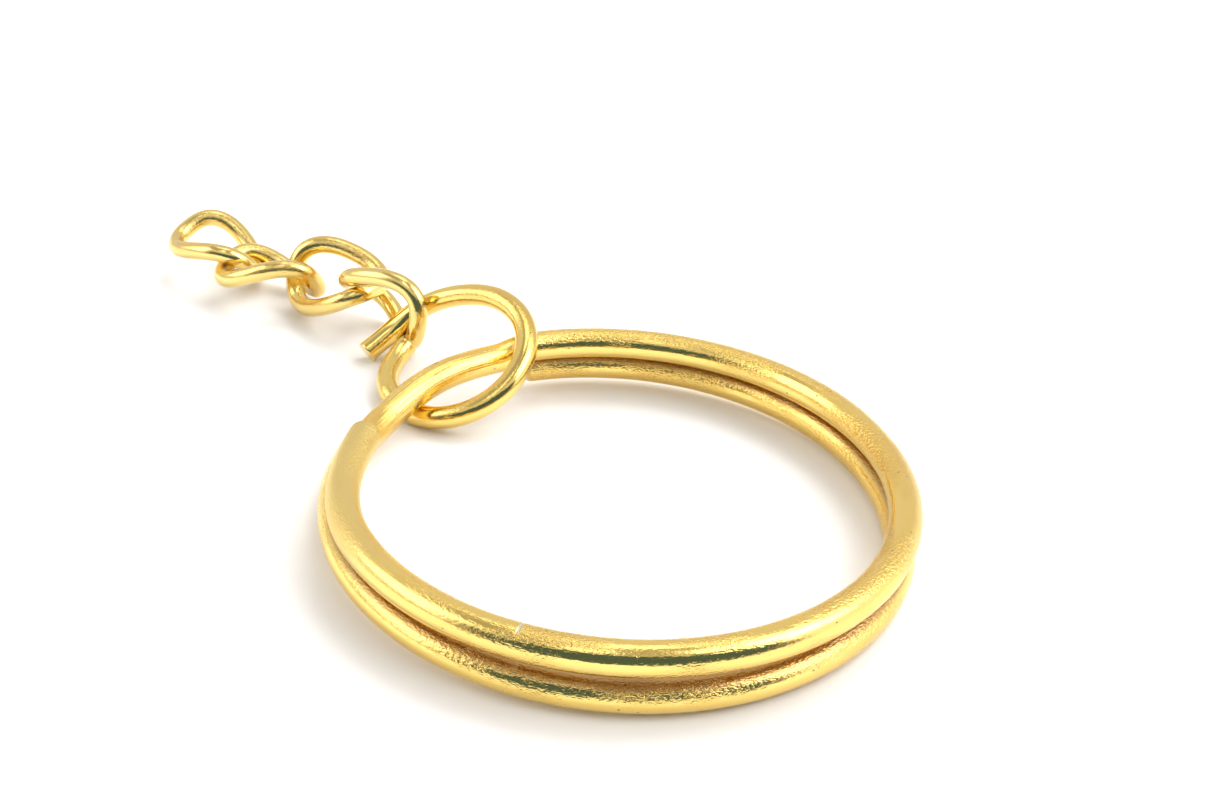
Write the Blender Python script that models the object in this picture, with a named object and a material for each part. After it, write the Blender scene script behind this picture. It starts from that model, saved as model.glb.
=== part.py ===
"""Split key ring with an open jump ring and a four-link chain tail, lying on the ground plane.

Six bent pieces of round wire, each its own closed solid. +Z is up, the ground is z = 0 and the whole
object is centred on x = y = 0. Lengths below are millimetres and angles are degrees.
"""

import math

import bpy
from mathutils import Euler, Matrix, Vector

MM = 0.001
UP = Vector((0.0, 0.0, 1.0))

# Split ring: a double coil whose ends lie against the turns beside them.
RING_WIRE = 1.4
LOWER_RADIUS = 11.93  # centreline radii of the two turns
UPPER_RADIUS = 11.80
LOWER_OFFSET = Vector((-0.07, 0.26, 0.0))  # the lower turn has slid off the upper turn's axis
LAYER_RISE = 1.612  # mean height of the upper turn above the lower one
LAYER_TILT = (0.133, -0.207)  # extra height towards +X and +Y
COIL_START = 113.0  # azimuth of the lower end; the coil winds clockwise from it
COIL_SWEEP = 662.0
FIRST_CLIMB = (313.0, 341.0)  # winding angles where the wire climbs from one layer to the next
SECOND_CLIMB = (350.5, 359.5)
FIRST_SHARE = 0.75
CLIMB_INSET = 0.1  # the wire hugs the coil by this much between those winding angles
INSET_START = (325.0, 342.0)
INSET_END = (350.0, 360.0)
TIP_TUCK = 0.5  # the upper end curls in by this much over its last stretch
TIP_STRETCH = 38.0
COIL_STEP = 2.6
RING_RAISE = 0.5  # the coil stands this high on the side that leans on the jump ring
RAISED_AZIMUTH = 148.0

# Jump ring: one open turn; its ends pass each other out of plane.
JUMP_WIRE = 1.06
JUMP_RADIUS = 3.53
JUMP_CENTRE = Vector((-8.19, 9.82, 2.34))  # from the split ring's axis
JUMP_NORMAL = Vector((-0.35, -0.45, 1.0))
JUMP_PITCH = 0.25
JUMP_ARC = (5.0, 350.0)
JUMP_LIFT = 0.2  # the two ends part by these heights over the bend
JUMP_DROP = 0.8
JUMP_BEND = 60.0
JUMP_TAIL = 2.8  # straight end past the opening
JUMP_FALL = Vector((-0.313, 2.059, -1.128))  # how far that end is bent aside
FALL_LENGTH = 7.8  # the bend starts and is complete this far from the tip
FALL_DONE = 1.3
JUMP_STEP = 4.0

# Chain links: one shape, an oval twisted about its long axis, in four resting poses.
LINK_WIRE = 0.9
LINK_HALF_LENGTH = 2.55  # of the centreline
LINK_HALF_WIDTH = 1.82
LINK_TWIST = -34.0  # at each end, against the middle
LINK_SQUARENESS = 2.5  # 2 is an ellipse, more is fuller at the shoulders
LINK_POINTS = 64
LINK_POSES = (  # centre from the split ring's axis, then roll, pitch and yaw of the long axis
    (Vector((-12.16, 14.92, 2.17)), (115.7, -1.7, -46.7)),
    (Vector((-15.24, 16.99, 2.18)), (31.6, -5.7, -29.5)),
    (Vector((-18.75, 18.27, 1.72)), (-19.3, -1.5, -19.7)),
    (Vector((-21.92, 20.53, 1.83)), (-11.9, 7.1, -38.9)),
)

# How an open wire's tip narrows: distance past the path's end, then width, both as shares of the wire's.
ROUND_TIP = ((0.14, 0.96), (0.28, 0.82), (0.38, 0.58))
SQUARE_TIP = ()


def smooth(value, start, end):
    """0 before start, 1 after end and a smooth step between."""
    t = min(max((value - start) / (end - start), 0.0), 1.0)
    return t * t * (3.0 - 2.0 * t)


def steps(start, end, step):
    """Evenly spaced values from start to end, about a step apart."""
    count = math.ceil((end - start) / step)
    return [start + (end - start) * i / count for i in range(count + 1)]


def coil_point(winding):
    """A point of the double coil, with the lower turn's plane at z = 0."""
    azimuth = math.radians(COIL_START - winding)
    level = FIRST_SHARE * smooth(winding, *FIRST_CLIMB) + (1 - FIRST_SHARE) * smooth(winding, *SECOND_CLIMB)
    between_climbs = smooth(winding, *INSET_START) * (1 - smooth(winding, *INSET_END))
    radius = LOWER_RADIUS + (UPPER_RADIUS - LOWER_RADIUS) * level - CLIMB_INSET * between_climbs
    radius -= TIP_TUCK * smooth(winding, COIL_SWEEP - TIP_STRETCH, COIL_SWEEP)
    rise = LAYER_RISE + LAYER_TILT[0] * math.cos(azimuth) + LAYER_TILT[1] * math.sin(azimuth)
    around = Vector((radius * math.cos(azimuth), radius * math.sin(azimuth), rise * level))
    return around + LOWER_OFFSET * (1 - level)


def coil_path():
    """The split ring's centreline, leaning so that its front rests on the ground."""
    lean = math.asin(RING_RAISE / (UPPER_RADIUS + LOWER_RADIUS))
    azimuth = math.radians(RAISED_AZIMUTH)
    turn = Matrix.Rotation(lean, 3, Vector((math.sin(azimuth), -math.cos(azimuth), 0.0)))
    lift = UP * (RING_WIRE / 2 + RING_RAISE / 2)
    return [turn @ coil_point(winding) + lift for winding in steps(0.0, COIL_SWEEP, COIL_STEP)]


def jump_path():
    """The jump ring's centreline: an arc with a slight pitch, its ends parted, one running on straight."""
    normal = JUMP_NORMAL.normalized()
    across = normal.cross(UP).normalized()
    along = normal.cross(across)
    first, last = JUMP_ARC
    path = []
    for angle in steps(first, last, JUMP_STEP):
        height = JUMP_PITCH * (angle / 360.0 - 0.5)
        height += JUMP_LIFT * smooth(angle, last - JUMP_BEND, last)
        height -= JUMP_DROP * (1 - smooth(angle, first, first + JUMP_BEND))
        turn = math.radians(angle)
        radial = across * math.cos(turn) + along * math.sin(turn)
        path.append(JUMP_CENTRE + radial * JUMP_RADIUS + normal * height)
    heading = (path[-1] - path[-2]).normalized()
    end = path[-1]
    path += [end + heading * distance for distance in steps(0.0, JUMP_TAIL, 0.4)[1:]]
    to_tip = [0.0]
    for here, ahead in zip(path[-2::-1], path[:0:-1]):
        to_tip.insert(0, to_tip[0] + (ahead - here).length)
    return [
        place + JUMP_FALL * (1 - smooth(left, FALL_DONE, FALL_LENGTH)) for place, left in zip(path, to_tip)
    ]


def link_path(centre, angles):
    """One link's centreline in its resting pose."""
    roll, pitch, yaw = (math.radians(angle) for angle in angles)
    pose = Euler((roll, pitch, yaw)).to_matrix()
    path = []
    for i in range(LINK_POINTS):
        c, s = math.cos(math.tau * i / LINK_POINTS), math.sin(math.tau * i / LINK_POINTS)
        x = LINK_HALF_LENGTH * math.copysign(abs(c) ** (2 / LINK_SQUARENESS), c)
        y = LINK_HALF_WIDTH * math.copysign(abs(s) ** (2 / LINK_SQUARENESS), s)
        twist = math.radians(LINK_TWIST) * x / LINK_HALF_LENGTH
        path.append(centre + pose @ Vector((x, y * math.cos(twist), y * math.sin(twist))))
    return path


def nearest(points, others):
    """The index of the point in the first path that lies nearest the second path."""
    return min(range(len(points)), key=lambda i: min((points[i] - other).length for other in others))


def metal(name, colour, roughness):
    """A plated metal material."""
    made = bpy.data.materials.new(name)
    made.use_nodes = True
    shader = made.node_tree.nodes["Principled BSDF"]
    shader.inputs["Base Color"].default_value = (*colour, 1.0)
    shader.inputs["Metallic"].default_value = 1.0
    shader.inputs["Roughness"].default_value = roughness
    return made


def wire(name, path, diameter, pivot, finish, tip=None):
    """A wire along a path, with its origin at the pivot. With no tip it is a closed loop."""
    beads = [(place, 1.0) for place in path]
    if tip is not None:
        backward = (path[0] - path[1]).normalized() * diameter
        forward = (path[-1] - path[-2]).normalized() * diameter
        for distance, share in tip:
            beads.insert(0, (path[0] + backward * distance, share))
            beads.append((path[-1] + forward * distance, share))
    curve = bpy.data.curves.new(name, "CURVE")
    curve.dimensions = "3D"
    curve.bevel_depth = diameter / 2 * MM
    curve.bevel_resolution = 2
    curve.use_fill_caps = True
    spline = curve.splines.new("POLY")
    spline.points.add(len(beads) - 1)
    for point, (place, share) in zip(spline.points, beads):
        point.co = (*((place - pivot) * MM), 1.0)
        point.radius = share
    spline.use_cyclic_u = tip is None
    curve.materials.append(finish)
    made = bpy.data.objects.new(name, curve)
    made.location = pivot * MM
    return made


def centring(wires):
    """The shift that puts the middle of all the wires on x = y = 0."""
    shift = Vector((0.0, 0.0, 0.0))
    for axis in (0, 1):
        low = min(place[axis] - diameter / 2 for path, diameter in wires for place in path)
        high = max(place[axis] + diameter / 2 for path, diameter in wires for place in path)
        shift[axis] = -(low + high) / 2
    return shift


def main():
    for old in list(bpy.data.objects):
        bpy.data.objects.remove(old)
    collection = bpy.data.collections.new("split_key_ring")
    bpy.context.scene.collection.children.link(collection)

    paths = [coil_path(), jump_path()] + [link_path(*pose) for pose in LINK_POSES]
    diameters = [RING_WIRE, JUMP_WIRE] + [LINK_WIRE] * len(LINK_POSES)
    shift = centring(list(zip(paths, diameters)))
    paths = [[place + shift for place in path] for path in paths]

    names = ["split_ring", "jump_ring"] + [f"chain_link_{i + 1}" for i in range(len(LINK_POSES))]
    finishes = [metal("ring_gold", (0.93, 0.67, 0.22), 0.22), metal("jump_ring_gold", (0.94, 0.68, 0.22), 0.2)]
    finishes += [metal(f"{name}_gold", (0.94, 0.70, 0.27), 0.24) for name in names[2:]]
    tips = [ROUND_TIP, SQUARE_TIP] + [None] * len(LINK_POSES)
    pivots = [shift]
    for held, holder in zip(paths[1:], paths):
        pivots.append(holder[nearest(holder, held)])
    for name, path, diameter, pivot, finish, tip in zip(names, paths, diameters, pivots, finishes, tips):
        collection.objects.link(wire(name, path, diameter, pivot, finish, tip))


main()
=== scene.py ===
"""Split key ring, open jump ring and four-link chain tail: fine wire meshes and plated gold on a pale floor.

Lengths are millimetres and angles are degrees until a mesh is made; the frame itself is in metres.
"""
import math

import bpy
import numpy as np
from mathutils import Euler, Matrix, Vector


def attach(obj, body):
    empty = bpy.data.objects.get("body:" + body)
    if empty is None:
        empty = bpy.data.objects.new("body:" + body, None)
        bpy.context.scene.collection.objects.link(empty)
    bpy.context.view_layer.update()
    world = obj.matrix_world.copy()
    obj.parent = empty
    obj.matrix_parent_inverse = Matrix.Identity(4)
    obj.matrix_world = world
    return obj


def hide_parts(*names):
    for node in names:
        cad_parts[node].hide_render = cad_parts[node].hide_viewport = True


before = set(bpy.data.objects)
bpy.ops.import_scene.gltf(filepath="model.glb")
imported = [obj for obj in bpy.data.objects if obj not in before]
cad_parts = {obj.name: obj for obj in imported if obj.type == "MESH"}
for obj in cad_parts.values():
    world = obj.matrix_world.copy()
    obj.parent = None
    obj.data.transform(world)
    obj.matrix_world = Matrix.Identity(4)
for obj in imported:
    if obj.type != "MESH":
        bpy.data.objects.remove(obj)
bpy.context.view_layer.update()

MM = 0.001
UP = Vector((0.0, 0.0, 1.0))
RING_AXIS = Vector((6.113874, -5.340696, 0.0))  # where the split ring's axis meets the ground

# Split ring: a double coil whose ends lie against the turns beside them.
RING_WIRE = 1.4
LOWER_RADIUS, UPPER_RADIUS = 11.93, 11.80  # centreline radii of the two turns
LOWER_OFFSET = Vector((-0.07, 0.26, 0.0))  # the lower turn has slid off the upper turn's axis
LAYER_RISE = 1.612  # mean height of the upper turn above the lower one
LAYER_TILT = (0.133, -0.207)  # extra height towards +X and +Y
COIL_START, COIL_SWEEP = 113.0, 662.0  # azimuth of the lower end; the coil winds clockwise from it
FIRST_CLIMB, SECOND_CLIMB = (313.0, 341.0), (350.5, 359.5)  # windings from one layer to the next
FIRST_SHARE = 0.75
CLIMB_INSET = 0.1  # the wire hugs the coil by this much between these windings
INSET_START, INSET_END = (325.0, 342.0), (350.0, 360.0)
TIP_TUCK, TIP_STRETCH = 0.5, 38.0  # the upper end curls in by this much over its last stretch
COIL_STEP = 0.8
RING_RAISE, RAISED_AZIMUTH = 0.5, 148.0  # the side that leans on the jump ring stands this high

# Jump ring: one open turn; its ends pass each other out of plane.
JUMP_WIRE, JUMP_RADIUS = 1.06, 3.53
JUMP_CENTRE = Vector((-8.19, 9.82, 2.34))  # from the split ring's axis
JUMP_NORMAL = Vector((-0.35, -0.45, 1.0))
JUMP_PITCH, JUMP_ARC = 0.25, (5.0, 350.0)
JUMP_LIFT, JUMP_DROP, JUMP_BEND = 0.2, 0.8, 60.0  # the two ends part by these heights over the bend
JUMP_TAIL = 2.8  # straight end past the opening
JUMP_FALL = Vector((-0.313, 2.059, -1.128))  # how far that end is bent aside
FALL_LENGTH, FALL_DONE = 7.8, 1.3  # the bend starts and is complete this far from the tip
JUMP_STEP, TAIL_STEP = 1.5, 0.1

# Chain links: one shape, an oval twisted about its long axis, in four resting poses.
LINK_WIRE = 0.9
LINK_HALF_LENGTH, LINK_HALF_WIDTH = 2.55, 1.82  # of the centreline
LINK_TWIST = -34.0  # at each end, against the middle
LINK_SQUARENESS = 2.5  # 2 is an ellipse, more is fuller at the shoulders
LINK_POINTS, LINK_ROWS = 144, 160
LINK_POSES = (  # centre from the split ring's axis, then roll, pitch and yaw of the long axis
    (Vector((-12.16, 14.92, 2.17)), (115.7, -1.7, -46.7)),
    (Vector((-15.24, 16.99, 2.18)), (31.6, -5.7, -29.5)),
    (Vector((-18.75, 18.27, 1.72)), (-19.3, -1.5, -19.7)),
    (Vector((-21.92, 20.53, 1.83)), (-11.9, 7.1, -38.9)),
)

# Vertices round each wire.
RING_SIDES, JUMP_SIDES, LINK_SIDES = 48, 40, 36

# How an open end closes: distance past the line's end in millimetres, then width as a share of the wire's.
DOME_LENGTH, DOME_FULLNESS, DOME_ANGLES = 0.42, 0.55, (0.25, 0.5, 0.75, 1.0, 1.2, 1.38, 1.5)
ROUND_END = tuple((DOME_LENGTH * math.sin(a), math.cos(a) ** DOME_FULLNESS) for a in DOME_ANGLES)
CHAMFER_END = ((0.03, 0.985), (0.06, 0.94), (0.075, 0.88))
FLAT_END = ()


# ---------------------------------------------------------------- centrelines

def smooth(value, start, end):
    """0 before start, 1 after end and a smooth step between."""
    t = min(max((value - start) / (end - start), 0.0), 1.0)
    return t * t * (3.0 - 2.0 * t)


def steps(start, end, step):
    """Evenly spaced values from start to end, about a step apart."""
    count = math.ceil((end - start) / step)
    return [start + (end - start) * i / count for i in range(count + 1)]


def coil_point(winding):
    """A point of the double coil, with the lower turn's plane at z = 0."""
    azimuth = math.radians(COIL_START - winding)
    level = FIRST_SHARE * smooth(winding, *FIRST_CLIMB) + (1 - FIRST_SHARE) * smooth(winding, *SECOND_CLIMB)
    between_climbs = smooth(winding, *INSET_START) * (1 - smooth(winding, *INSET_END))
    radius = LOWER_RADIUS + (UPPER_RADIUS - LOWER_RADIUS) * level - CLIMB_INSET * between_climbs
    radius -= TIP_TUCK * smooth(winding, COIL_SWEEP - TIP_STRETCH, COIL_SWEEP)
    rise = LAYER_RISE + LAYER_TILT[0] * math.cos(azimuth) + LAYER_TILT[1] * math.sin(azimuth)
    around = Vector((radius * math.cos(azimuth), radius * math.sin(azimuth), rise * level))
    return around + LOWER_OFFSET * (1 - level)


def coil_path():
    """The split ring's centreline, leaning so that its front rests on the ground."""
    lean = math.asin(RING_RAISE / (UPPER_RADIUS + LOWER_RADIUS))
    azimuth = math.radians(RAISED_AZIMUTH)
    turn = Matrix.Rotation(lean, 3, Vector((math.sin(azimuth), -math.cos(azimuth), 0.0)))
    lift = UP * (RING_WIRE / 2 + RING_RAISE / 2)
    return [turn @ coil_point(winding) + lift for winding in steps(0.0, COIL_SWEEP, COIL_STEP)]


def jump_path():
    """The jump ring's centreline: an arc with a slight pitch, its ends parted, one running on straight."""
    normal = JUMP_NORMAL.normalized()
    across = normal.cross(UP).normalized()
    along = normal.cross(across)
    first, last = JUMP_ARC
    path = []
    for angle in steps(first, last, JUMP_STEP):
        height = JUMP_PITCH * (angle / 360.0 - 0.5)
        height += JUMP_LIFT * smooth(angle, last - JUMP_BEND, last)
        height -= JUMP_DROP * (1 - smooth(angle, first, first + JUMP_BEND))
        turn = math.radians(angle)
        radial = across * math.cos(turn) + along * math.sin(turn)
        path.append(JUMP_CENTRE + radial * JUMP_RADIUS + normal * height)
    heading = (path[-1] - path[-2]).normalized()
    end = path[-1]
    path += [end + heading * distance for distance in steps(0.0, JUMP_TAIL, TAIL_STEP)[1:]]
    to_tip = [0.0]
    for here, ahead in zip(path[-2::-1], path[:0:-1]):
        to_tip.insert(0, to_tip[0] + (ahead - here).length)
    return [
        place + JUMP_FALL * (1 - smooth(left, FALL_DONE, FALL_LENGTH)) for place, left in zip(path, to_tip)
    ]


def link_path(centre, angles):
    """One link's centreline in its resting pose."""
    roll, pitch, yaw = (math.radians(angle) for angle in angles)
    pose = Euler((roll, pitch, yaw)).to_matrix()
    path = []
    for i in range(LINK_POINTS):
        c, s = math.cos(math.tau * i / LINK_POINTS), math.sin(math.tau * i / LINK_POINTS)
        x = LINK_HALF_LENGTH * math.copysign(abs(c) ** (2 / LINK_SQUARENESS), c)
        y = LINK_HALF_WIDTH * math.copysign(abs(s) ** (2 / LINK_SQUARENESS), s)
        twist = math.radians(LINK_TWIST) * x / LINK_HALF_LENGTH
        path.append(centre + pose @ Vector((x, y * math.cos(twist), y * math.sin(twist))))
    return path


def lengths(points):
    """The distance along a line to each of its points."""
    return np.r_[0.0, np.cumsum(np.linalg.norm(np.diff(points, axis=0), axis=1))]


def evened(path, count):
    """The same closed loop with evenly spaced points."""
    points = np.array(path, float)
    points = np.vstack([points, points[:1]])
    along = lengths(points)
    wanted = np.linspace(0.0, along[-1], count + 1)
    return np.stack([np.interp(wanted, along, points[:, k]) for k in range(3)], axis=1)[:-1]


# ---------------------------------------------------------------- wire meshes

def tangents(points, closed):
    """The unit direction of a line at each of its points."""
    if closed:
        ahead = np.roll(points, -1, 0) - np.roll(points, 1, 0)
    else:
        ahead = np.gradient(points, axis=0)
    return ahead / np.linalg.norm(ahead, axis=1)[:, None]


def carried_sides(heading, closed):
    """A side direction at each point that turns no more than the line does."""
    side = np.cross(heading[0], UP)
    sides = [side / np.linalg.norm(side)]
    for t in heading[1:]:
        side = sides[-1] - t * (sides[-1] @ t)
        sides.append(side / np.linalg.norm(side))
    sides = np.array(sides)
    if closed:
        last = sides[-1] - heading[0] * (sides[-1] @ heading[0])
        turn = math.atan2(np.cross(last, sides[0]) @ heading[0], last @ sides[0])
        share = np.arange(len(sides))[:, None] / len(sides) * turn
        sides = sides * np.cos(share) + np.cross(heading, sides) * np.sin(share)
    return sides


def quads(rows, around, closed):
    """The faces of a tube of rows, with flat end faces if it is open."""
    faces = []
    for i in range(rows if closed else rows - 1):
        j = (i + 1) % rows
        for k in range(around):
            n = (k + 1) % around
            faces.append((i * around + k, i * around + n, j * around + n, j * around + k))
    if not closed:
        faces.append(tuple(reversed(range(around))))
        faces.append(tuple((rows - 1) * around + k for k in range(around)))
    return faces


def mark(mesh, name, kind, values):
    """A vertex attribute. kind is FLOAT or FLOAT_VECTOR."""
    attribute = mesh.attributes.new(name, kind, "POINT")
    field = "vector" if kind == "FLOAT_VECTOR" else "value"
    attribute.data.foreach_set(field, values.astype(np.float32).ravel())


def tube(name, path, diameter, around, ends=None):
    """A round wire mesh. ends give how each end closes; with none the wire is a closed loop.

    Its attributes place each vertex on the wire in millimetres: wire_place is the distance along the wire
    and two across it, which on the coil are inwards and down, and to_last is the distance to the last end.
    """
    points = np.array(path, float)
    closed = ends is None
    heading = tangents(points, closed)
    sides = carried_sides(heading, closed)
    radius = np.full(len(points), diameter / 2)
    if not closed:
        before = [(points[0] - heading[0] * d, share) for d, share in reversed(ends[0])]
        after = [(points[-1] + heading[-1] * d, share) for d, share in ends[1]]
        points = np.vstack([p for p, _ in before] + [points] + [p for p, _ in after])
        radius = np.r_[[s * diameter / 2 for _, s in before], radius, [s * diameter / 2 for _, s in after]]
        heading = np.vstack([heading[:1]] * len(before) + [heading] + [heading[-1:]] * len(after))
        sides = np.vstack([sides[:1]] * len(before) + [sides] + [sides[-1:]] * len(after))
    second = np.cross(heading, sides)
    turn = np.arange(around) / around * math.tau
    ring = np.cos(turn)[None, :, None] * sides[:, None] + np.sin(turn)[None, :, None] * second[:, None]
    shell = points[:, None] + ring * radius[:, None, None]

    rows = len(points)
    along = lengths(points)
    total = along[-1]
    if closed:  # the streaks run out and back, so that they meet at the seam
        along = np.abs(along - total / 2)
    across = [np.tile(wave(turn) * diameter / 2, rows) for wave in (np.cos, np.sin)]
    to_last = np.full(rows, total) if closed else total - along

    mesh = bpy.data.meshes.new(name)
    mesh.from_pydata((shell.reshape(-1, 3) * MM).tolist(), [], quads(rows, around, closed))
    mesh.validate()
    for polygon in mesh.polygons:
        polygon.use_smooth = len(polygon.vertices) == 4
    mark(mesh, "wire_place", "FLOAT_VECTOR", np.stack([np.repeat(along, around), *across], axis=1))
    mark(mesh, "to_last", "FLOAT", np.repeat(to_last, around))
    mesh.update()
    made = bpy.data.objects.new(name, mesh)
    bpy.context.scene.collection.objects.link(made)
    return made


OWN_TURN = 6 * RING_WIRE  # nearer than this along the wire is the same turn
NO_TURN = 10.0  # the distance that stands for the same turn
SINGLE_WIRE = 0.9 * RING_WIRE  # rows this far from the other turn shelter nothing
SINGLE_PUSH = 4.0
CHUNK = 2000  # vertices measured at a time


def mark_sheltered(piece, line, around):
    """turn_gap: how much farther a vertex is from the coil's other turn than the nearest one in its row."""
    line = np.array(line, float)
    along = lengths(line)
    count = len(piece.data.vertices)
    skin = np.empty(count * 3)
    piece.data.vertices.foreach_get("co", skin)
    skin = skin.reshape(-1, 3) / MM
    place = np.empty(count * 3, np.float32)
    piece.data.attributes["wire_place"].data.foreach_get("vector", place)
    place = place.reshape(-1, 3)[:, 0]
    gap = np.empty(count)
    for first in range(0, count, CHUNK):
        part = slice(first, first + CHUNK)
        distance = np.linalg.norm(skin[part, None] - line[None], axis=2)
        distance[np.abs(place[part, None] - along[None]) < OWN_TURN] = NO_TURN
        gap[part] = distance.min(axis=1)
    gap = gap.reshape(-1, around)
    least = gap.min(axis=1, keepdims=True)
    gap += SINGLE_PUSH * np.maximum(least - SINGLE_WIRE, 0.0) - least
    mark(piece.data, "turn_gap", "FLOAT", gap)


# ---------------------------------------------------------------- shader nodes

def node(tree, kind, inputs=None, **settings):
    """A shader node with its inputs linked or set."""
    made = tree.nodes.new(kind)
    for key, value in settings.items():
        setattr(made, key, value)
    for key, value in (inputs or {}).items():
        socket = made.inputs[key]
        if isinstance(value, bpy.types.NodeSocket):
            tree.links.new(value, socket)
        else:
            socket.default_value = value
    return made


def maths(tree, operation, a, b=0.0):
    return node(tree, "ShaderNodeMath", {0: a, 1: b}, operation=operation).outputs[0]


def plus(tree, a, b):
    return maths(tree, "ADD", a, b)


def minus(tree, a, b):
    return maths(tree, "SUBTRACT", a, b)


def times(tree, a, b):
    return maths(tree, "MULTIPLY", a, b)


def ranged(tree, value, low, high, to_low=0.0, to_high=1.0):
    """value from low..high carried smoothly to to_low..to_high."""
    made = node(tree, "ShaderNodeMapRange", {0: value, 1: low, 2: high, 3: to_low, 4: to_high})
    made.interpolation_type = "SMOOTHSTEP"
    return made.outputs[0]


def mixed(tree, share, a, b):
    """Colour a where share is 0 and b where it is 1."""
    made = node(tree, "ShaderNodeMix", data_type="RGBA")
    for index, value in ((0, share), (6, a), (7, b)):
        if isinstance(value, bpy.types.NodeSocket):
            tree.links.new(value, made.inputs[index])
        else:
            made.inputs[index].default_value = value if index == 0 else (*value, 1.0)
    return made.outputs[2]


def attribute(tree, name, output):
    return node(tree, "ShaderNodeAttribute", attribute_name=name).outputs[output]


def stretched(tree, place, scale, offset):
    return node(
        tree, "ShaderNodeMapping", {"Vector": place, "Location": offset, "Scale": scale}
    ).outputs[0]


def noise(tree, place, scale, rough, offset, detail=2.0):
    vector = stretched(tree, place, scale, offset)
    return node(
        tree, "ShaderNodeTexNoise", {"Vector": vector, "Scale": 1.0, "Detail": detail, "Roughness": rough}
    ).outputs["Fac"]


# ---------------------------------------------------------------- plating

GOLD, JUMP_GOLD, LINK_GOLD = (0.93, 0.69, 0.21), (0.88, 0.67, 0.21), (0.86, 0.67, 0.24)
DEEP_GOLD = (0.95, 0.88, 0.80)  # the deeper patches, as shares of the tint
BUMP_DEPTH = 0.000018  # in metres, at full grain
SEED_STEPS = (7.3, 3.1, 5.7)  # how far each seed shifts the patterns along and across the wire

# Noise: cells per millimetre along and across the wire, then the noise's roughness.
FINE_GRAIN = ((6.0, 10.0, 10.0), 0.55)
DRAWN_LINES = ((0.18, 7.0, 7.0), 0.6)
PATCHES = ((0.22, 0.8, 0.8), 0.5)
FINE_RANGE, WORKED_RANGE, DEEP_RANGE = (0.34, 0.66), (0.40, 0.60), (0.35, 0.7)

LINE_DEPTH = 0.6  # depths are shares of the bump
SMOOTH_GRAIN, WORKED_GRAIN, WORKED_ROUGH = 0.15, 0.85, 0.07

# Pits: cells per millimetre, the few cells that have one, and its edge and floor from the cell's middle.
PIT_CELLS, PIT_CHANCE, PIT_EDGE = (3.0, 4.0, 4.0), (0.90, 0.92), (0.20, 0.08)
PIT_DEPTH, PIT_SHADE, PIT_COLOUR = 1.2, 0.8, (0.22, 0.12, 0.04)

# On the coil only: a scored stretch, painted shade (brown and rougher) where the turns shelter each other, a
# satin end, a nick.
SCORED, SCORED_FADE, SCORED_DEPTH = (62.0, 74.0), 2.0, 2.0
# Painted shade between the turns: the turn_gap range it fades over, its share, its brown colour and the
# roughness it adds.
PAINTED_SHADE_GAP, PAINTED_SHADE_SHARE, PAINTED_SHADE_COLOUR, PAINTED_SHADE_ROUGH = (0.38, 0.12), 0.85, (0.47, 0.29, 0.12), 0.06
GROOVE_GAP, GROOVE_GRAIN = (0.55, 0.20), 0.4
SATIN_STRETCH, SATIN_SHADE, SATIN_COLOUR, SATIN_ROUGH = (13.0, 6.0), 0.85, (0.78, 0.61, 0.23), 0.30
NICK_PLACE, NICK_LEAN = 120.6, 0.15
NICK_END = (-0.45, -0.30)  # it fades out between these, towards the wire's outer side
NICK_EDGE, NICK_FLOOR = 0.09, 0.027  # half widths
NICK_DEPTH, NICK_SHADE, NICK_COLOUR = 1.5, 0.8, (0.80, 0.84, 0.72)


def pitted(tree, place, shift):
    """1 in the middle of a few small round pits."""
    cells = node(
        tree, "ShaderNodeTexVoronoi", {"Vector": stretched(tree, place, PIT_CELLS, shift), "Scale": 1.0}
    )
    chance = node(tree, "ShaderNodeSeparateColor", {0: cells.outputs["Color"]}).outputs[0]
    return times(tree, ranged(tree, cells.outputs["Distance"], *PIT_EDGE), ranged(tree, chance, *PIT_CHANCE))


def scored_stretch(tree, along):
    """1 along the scored stretch."""
    start, end = SCORED
    return times(
        tree,
        ranged(tree, along, start, start + SCORED_FADE),
        ranged(tree, along, end, end - SCORED_FADE),
    )


def nicked(tree, along, inward, down):
    """1 in a slanting nick that ends short of the wire's outer side."""
    slant = minus(tree, along, times(tree, down, NICK_LEAN))
    off = maths(tree, "ABSOLUTE", minus(tree, slant, NICK_PLACE))
    return times(tree, ranged(tree, off, NICK_EDGE, NICK_FLOOR), ranged(tree, inward, *NICK_END))


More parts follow.
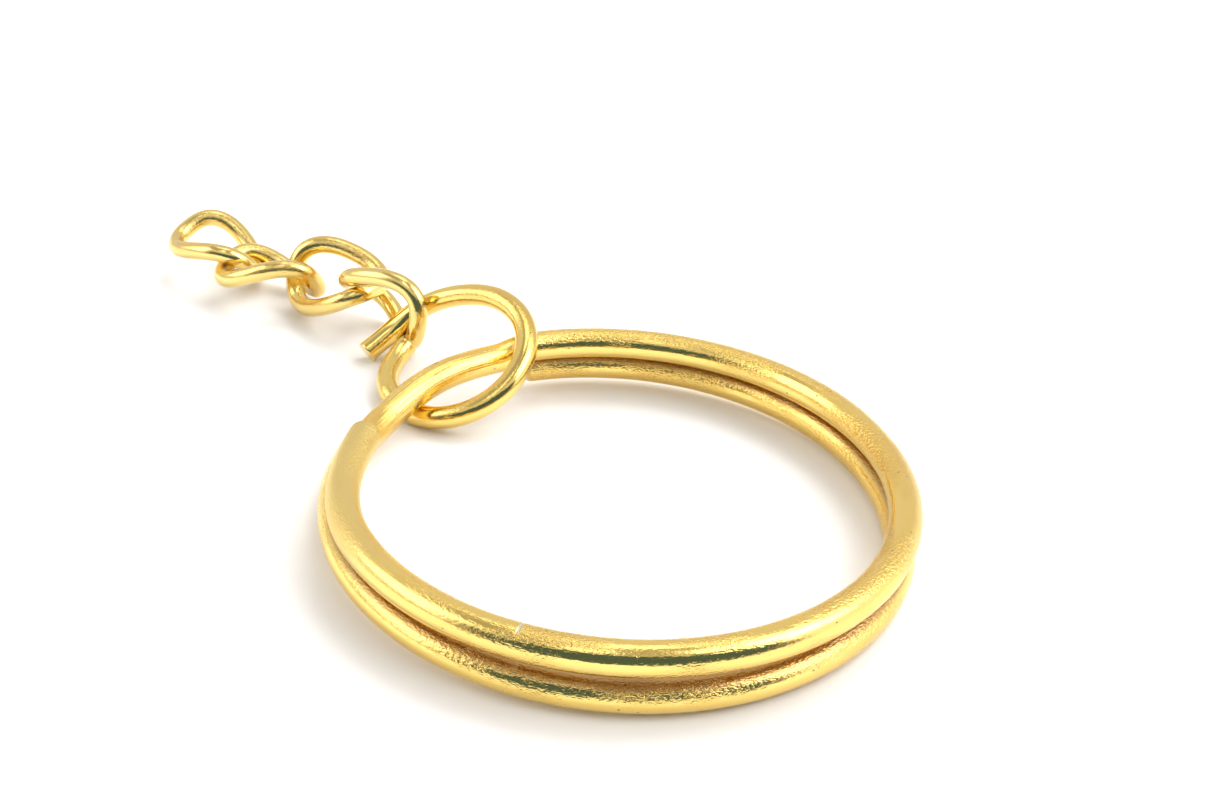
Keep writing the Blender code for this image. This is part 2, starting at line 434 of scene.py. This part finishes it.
def plating(name, seed, tint, rough, grain=1.0, coil=False):
    """Bright gold plating over drawn wire: lengthwise lines, worked grain in patches and pits.

    The coil also has the marks that only it carries, and shade painted where its turns shelter each other.
    """
    made = bpy.data.materials.new(name)
    made.use_nodes = True
    tree = made.node_tree
    shader = tree.nodes["Principled BSDF"]
    place = attribute(tree, "wire_place", "Vector")
    along, inward, down = node(tree, "ShaderNodeSeparateXYZ", {0: place}).outputs
    shift = tuple(seed * step for step in SEED_STEPS)

    fine = ranged(tree, noise(tree, place, *FINE_GRAIN, shift), *FINE_RANGE)
    lines = noise(tree, place, *DRAWN_LINES, shift)
    patches = noise(tree, place, *PATCHES, shift)
    pits = pitted(tree, place, shift)
    worked = ranged(tree, patches, *WORKED_RANGE)
    line_depth = LINE_DEPTH
    if coil:
        scored = scored_stretch(tree, along)
        line_depth = plus(tree, times(tree, scored, SCORED_DEPTH), LINE_DEPTH)
        worked = times(tree, worked, minus(tree, 1.0, scored))
        gap = attribute(tree, "turn_gap", "Fac")
        worked = maths(tree, "MAXIMUM", worked, ranged(tree, gap, *GROOVE_GAP, 0.0, GROOVE_GRAIN))

    deep = tuple(channel * share for channel, share in zip(tint, DEEP_GOLD))
    colour = mixed(tree, ranged(tree, patches, *DEEP_RANGE), tint, deep)
    colour = mixed(tree, times(tree, pits, PIT_SHADE), colour, PIT_COLOUR)
    height = times(tree, fine, plus(tree, times(tree, worked, WORKED_GRAIN), SMOOTH_GRAIN))
    height = minus(tree, height, times(tree, pits, PIT_DEPTH))
    height = plus(tree, height, times(tree, lines, line_depth))
    roughness = plus(tree, times(tree, worked, WORKED_ROUGH), rough)
    if coil:
        satin = ranged(tree, attribute(tree, "to_last", "Fac"), *SATIN_STRETCH)
        colour = mixed(tree, times(tree, satin, SATIN_SHADE), colour, SATIN_COLOUR)
        roughness = plus(tree, roughness, times(tree, satin, SATIN_ROUGH))
        # Painted shade: brown and rougher where the other turn lies close.
        painted_shade = ranged(tree, gap, *PAINTED_SHADE_GAP, 0.0, PAINTED_SHADE_SHARE)
        colour = mixed(tree, painted_shade, colour, PAINTED_SHADE_COLOUR)
        roughness = plus(tree, roughness, times(tree, painted_shade, PAINTED_SHADE_ROUGH))
        nick = nicked(tree, along, inward, down)
        colour = mixed(tree, times(tree, nick, NICK_SHADE), colour, NICK_COLOUR)
        height = minus(tree, height, times(tree, nick, NICK_DEPTH))
    bump = node(tree, "ShaderNodeBump", {"Height": height, "Strength": 1.0, "Distance": BUMP_DEPTH * grain})
    tree.links.new(colour, shader.inputs["Base Color"])
    tree.links.new(roughness, shader.inputs["Roughness"])
    tree.links.new(bump.outputs[0], shader.inputs["Normal"])
    shader.inputs["Metallic"].default_value = 1.0
    return made


# ---------------------------------------------------------------- pieces

names = ["split_ring", "jump_ring", "chain_link_1", "chain_link_2", "chain_link_3", "chain_link_4"]
ring_line = [point + RING_AXIS for point in coil_path()]
jump_line = [point + RING_AXIS for point in jump_path()]
link_lines = [evened([point + RING_AXIS for point in link_path(*pose)], LINK_ROWS) for pose in LINK_POSES]

pieces = [
    tube("ring_wire", ring_line, RING_WIRE, RING_SIDES, (ROUND_END, ROUND_END)),
    tube("jump_wire", jump_line, JUMP_WIRE, JUMP_SIDES, (CHAMFER_END, FLAT_END)),
]
looks = [
    plating("ring_plating", 1, GOLD, rough=0.13, coil=True),
    plating("jump_plating", 2, JUMP_GOLD, rough=0.09, grain=0.22),
]
mark_sheltered(pieces[0], ring_line, RING_SIDES)
for seed, (name, line) in enumerate(zip(names[2:], link_lines), 3):
    pieces.append(tube(f"{name}_wire", line, LINK_WIRE, LINK_SIDES))
    looks.append(plating(f"{name}_plating", seed, LINK_GOLD, rough=0.14, grain=0.3))
for name, piece, look in zip(names, pieces, looks):
    piece.data.materials.append(look)
    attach(piece, name)
    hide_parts(name)


# ---------------------------------------------------------------- floor, light and camera

FLOOR_HALF = 1.5  # metres
PAPER = (0.86, 0.86, 0.86), (0.89, 0.89, 0.89)
FIBRE = ((900.0, 900.0, 900.0), 0.5)  # noise cells per metre, then the noise's roughness

WALL, CEILING = (0.84, 0.80, 0.80), (0.52, 0.49, 0.44)
CEILING_FADE = (math.radians(48.0), math.radians(62.0))
SOFTBOXES = (  # azimuth from and to, elevation from and to, softness, then the light's colour
    ((-195.0, -140.0, 60.0, 95.0, 14.0), (2.0, 2.0, 2.0)),
    ((140.0, 195.0, 60.0, 95.0, 14.0), (2.0, 2.0, 2.0)),
    ((46.0, 124.0, 50.0, 70.0, 10.0), (2.7, 2.7, 2.7)),
    ((60.0, 118.0, -20.0, 30.0, 8.0), (1.3, 1.3, 1.3)),
    ((100.0, 126.0, 26.0, 52.0, 8.0), (1.8, 1.8, 1.8)),
    ((60.0, 102.0, 28.0, 58.0, 8.0), (4.4, 4.4, 4.5)),
    ((-106.0, -62.0, 14.0, 52.0, 10.0), (2.5, 2.5, 2.45)),
    ((-30.0, 2.0, 56.0, 84.0, 8.0), (1.9, 1.9, 1.9)),
    ((-50.0, 50.0, -20.0, 34.0, 10.0), (0.15, 0.15, 0.15)),
)
CARDS = (  # left and right, low and high from the lens, then the card's own light
    ("dark_card", (-68.0, 100.0, -60.0, 13.0), (0.085, 0.142, 0.19)),
    ("brown_card", (-105.0, -68.0, -60.0, -16.0), (0.42, 0.36, 0.29)),
    ("grey_card", (100.0, 150.0, -60.0, -18.0), (0.34, 0.28, 0.34)),
)
BEHIND_LENS = 3.0

KEY_ENERGY, KEY_ANGLE, KEY_SIDE = 2.0, 45.0, Vector((0.5, 0.7, 1.0))

FOCAL_LENGTH, SENSOR_WIDTH = 49.70, 36.0
CLIP = (0.002, 10.0)  # metres
LENS = Vector((-0.27943, -58.52374, 41.08249))  # from the split ring's axis
VIEW_RIGHT = Vector((0.99758, 0.04331, 0.05437))
VIEW_UP = Vector((-0.06889, 0.51119, 0.85670))


def sheet(name, corners, look):
    """One flat face that stands for part of the studio."""
    mesh = bpy.data.meshes.new(name)
    mesh.from_pydata(corners, [], [(0, 1, 2, 3)])
    mesh.materials.append(look)
    made = bpy.data.objects.new(name, mesh)
    bpy.context.scene.collection.objects.link(made)
    return made


def floor():
    """A plain pale paper ground."""
    paper = bpy.data.materials.new("paper")
    paper.use_nodes = True
    tree = paper.node_tree
    shader = tree.nodes["Principled BSDF"]
    where = node(tree, "ShaderNodeTexCoord").outputs["Object"]
    fibre = noise(tree, where, *FIBRE, (0.0, 0.0, 0.0), 3.0)
    tree.links.new(mixed(tree, fibre, *PAPER), shader.inputs["Base Color"])
    shader.inputs["Roughness"].default_value = 0.9
    shader.inputs["Specular IOR Level"].default_value = 0.1
    corners = ((-1, -1), (1, -1), (1, 1), (-1, 1))
    sheet("floor", [(x * FLOOR_HALF, y * FLOOR_HALF, 0) for x, y in corners], paper)


def cards(lens):
    """Cards beside and below the lens, there only for the metal to mirror."""
    back = VIEW_RIGHT.cross(VIEW_UP) * BEHIND_LENS
    for name, (left, right, low, high), colour in CARDS:
        corners = [(left, low), (right, low), (right, high), (left, high)]
        cloth = bpy.data.materials.new(name)
        cloth.use_nodes = True
        shader = cloth.node_tree.nodes["Principled BSDF"]
        shader.inputs["Base Color"].default_value = (0.0, 0.0, 0.0, 1.0)
        shader.inputs["Specular IOR Level"].default_value = 0.0
        shader.inputs["Emission Color"].default_value = (*colour, 1.0)
        shader.inputs["Emission Strength"].default_value = 1.0
        made = sheet(name, [(lens + VIEW_RIGHT * x + VIEW_UP * y + back) * MM for x, y in corners], cloth)
        made.visible_camera = made.visible_diffuse = made.visible_shadow = False


def key_light():
    """A broad light from above and behind that the floor sees and the metal doesn't mirror."""
    data = bpy.data.lights.new("key", "SUN")
    data.energy = KEY_ENERGY
    data.angle = math.radians(KEY_ANGLE)
    made = bpy.data.objects.new("key", data)
    bpy.context.scene.collection.objects.link(made)
    made.rotation_euler = KEY_SIDE.to_track_quat("Z", "Y").to_euler()
    made.visible_glossy = False


def window(tree, azimuth, elevation, left, right, low, high, soft):
    """1 inside a patch of the sky and 0 outside it. Azimuth 0 is towards -Y and 90 is towards +X."""
    r = math.radians
    sides = times(
        tree,
        ranged(tree, azimuth, r(left - soft), r(left + soft)),
        ranged(tree, azimuth, r(right + soft), r(right - soft)),
    )
    ends = times(
        tree,
        ranged(tree, elevation, r(low - soft / 2), r(low + soft / 2)),
        ranged(tree, elevation, r(high + soft / 2), r(high - soft / 2)),
    )
    return times(tree, sides, ends)


def sky():
    """The room round the object: walls, a darker ceiling and soft boxes."""
    world = bpy.data.worlds.new("studio")
    bpy.context.scene.world = world
    world.use_nodes = True
    tree = world.node_tree
    background = tree.nodes["Background"]
    direction = node(tree, "ShaderNodeTexCoord").outputs["Generated"]
    x, y, z = node(tree, "ShaderNodeSeparateXYZ", {0: direction}).outputs
    azimuth = maths(tree, "ARCTAN2", x, times(tree, y, -1.0))
    elevation = maths(tree, "ARCSINE", z)

    light = mixed(tree, ranged(tree, elevation, *CEILING_FADE), WALL, CEILING)
    for patch, colour in SOFTBOXES:
        light = mixed(tree, window(tree, azimuth, elevation, *patch), light, colour)
    tree.links.new(light, background.inputs["Color"])
    background.inputs["Strength"].default_value = 1.0


def camera(lens):
    data = bpy.data.cameras.new("camera")
    data.sensor_width = SENSOR_WIDTH
    data.lens = FOCAL_LENGTH
    data.clip_start, data.clip_end = CLIP
    made = bpy.data.objects.new("camera", data)
    bpy.context.scene.collection.objects.link(made)
    axes = Matrix((VIEW_RIGHT, VIEW_UP, VIEW_RIGHT.cross(VIEW_UP))).transposed()
    made.matrix_world = Matrix.Translation(lens * MM) @ axes.to_4x4()
    bpy.context.scene.camera = made


floor()
sky()
key_light()
camera(LENS + RING_AXIS)
cards(LENS + RING_AXIS)
bpy.context.scene.view_settings.view_transform = "Standard"
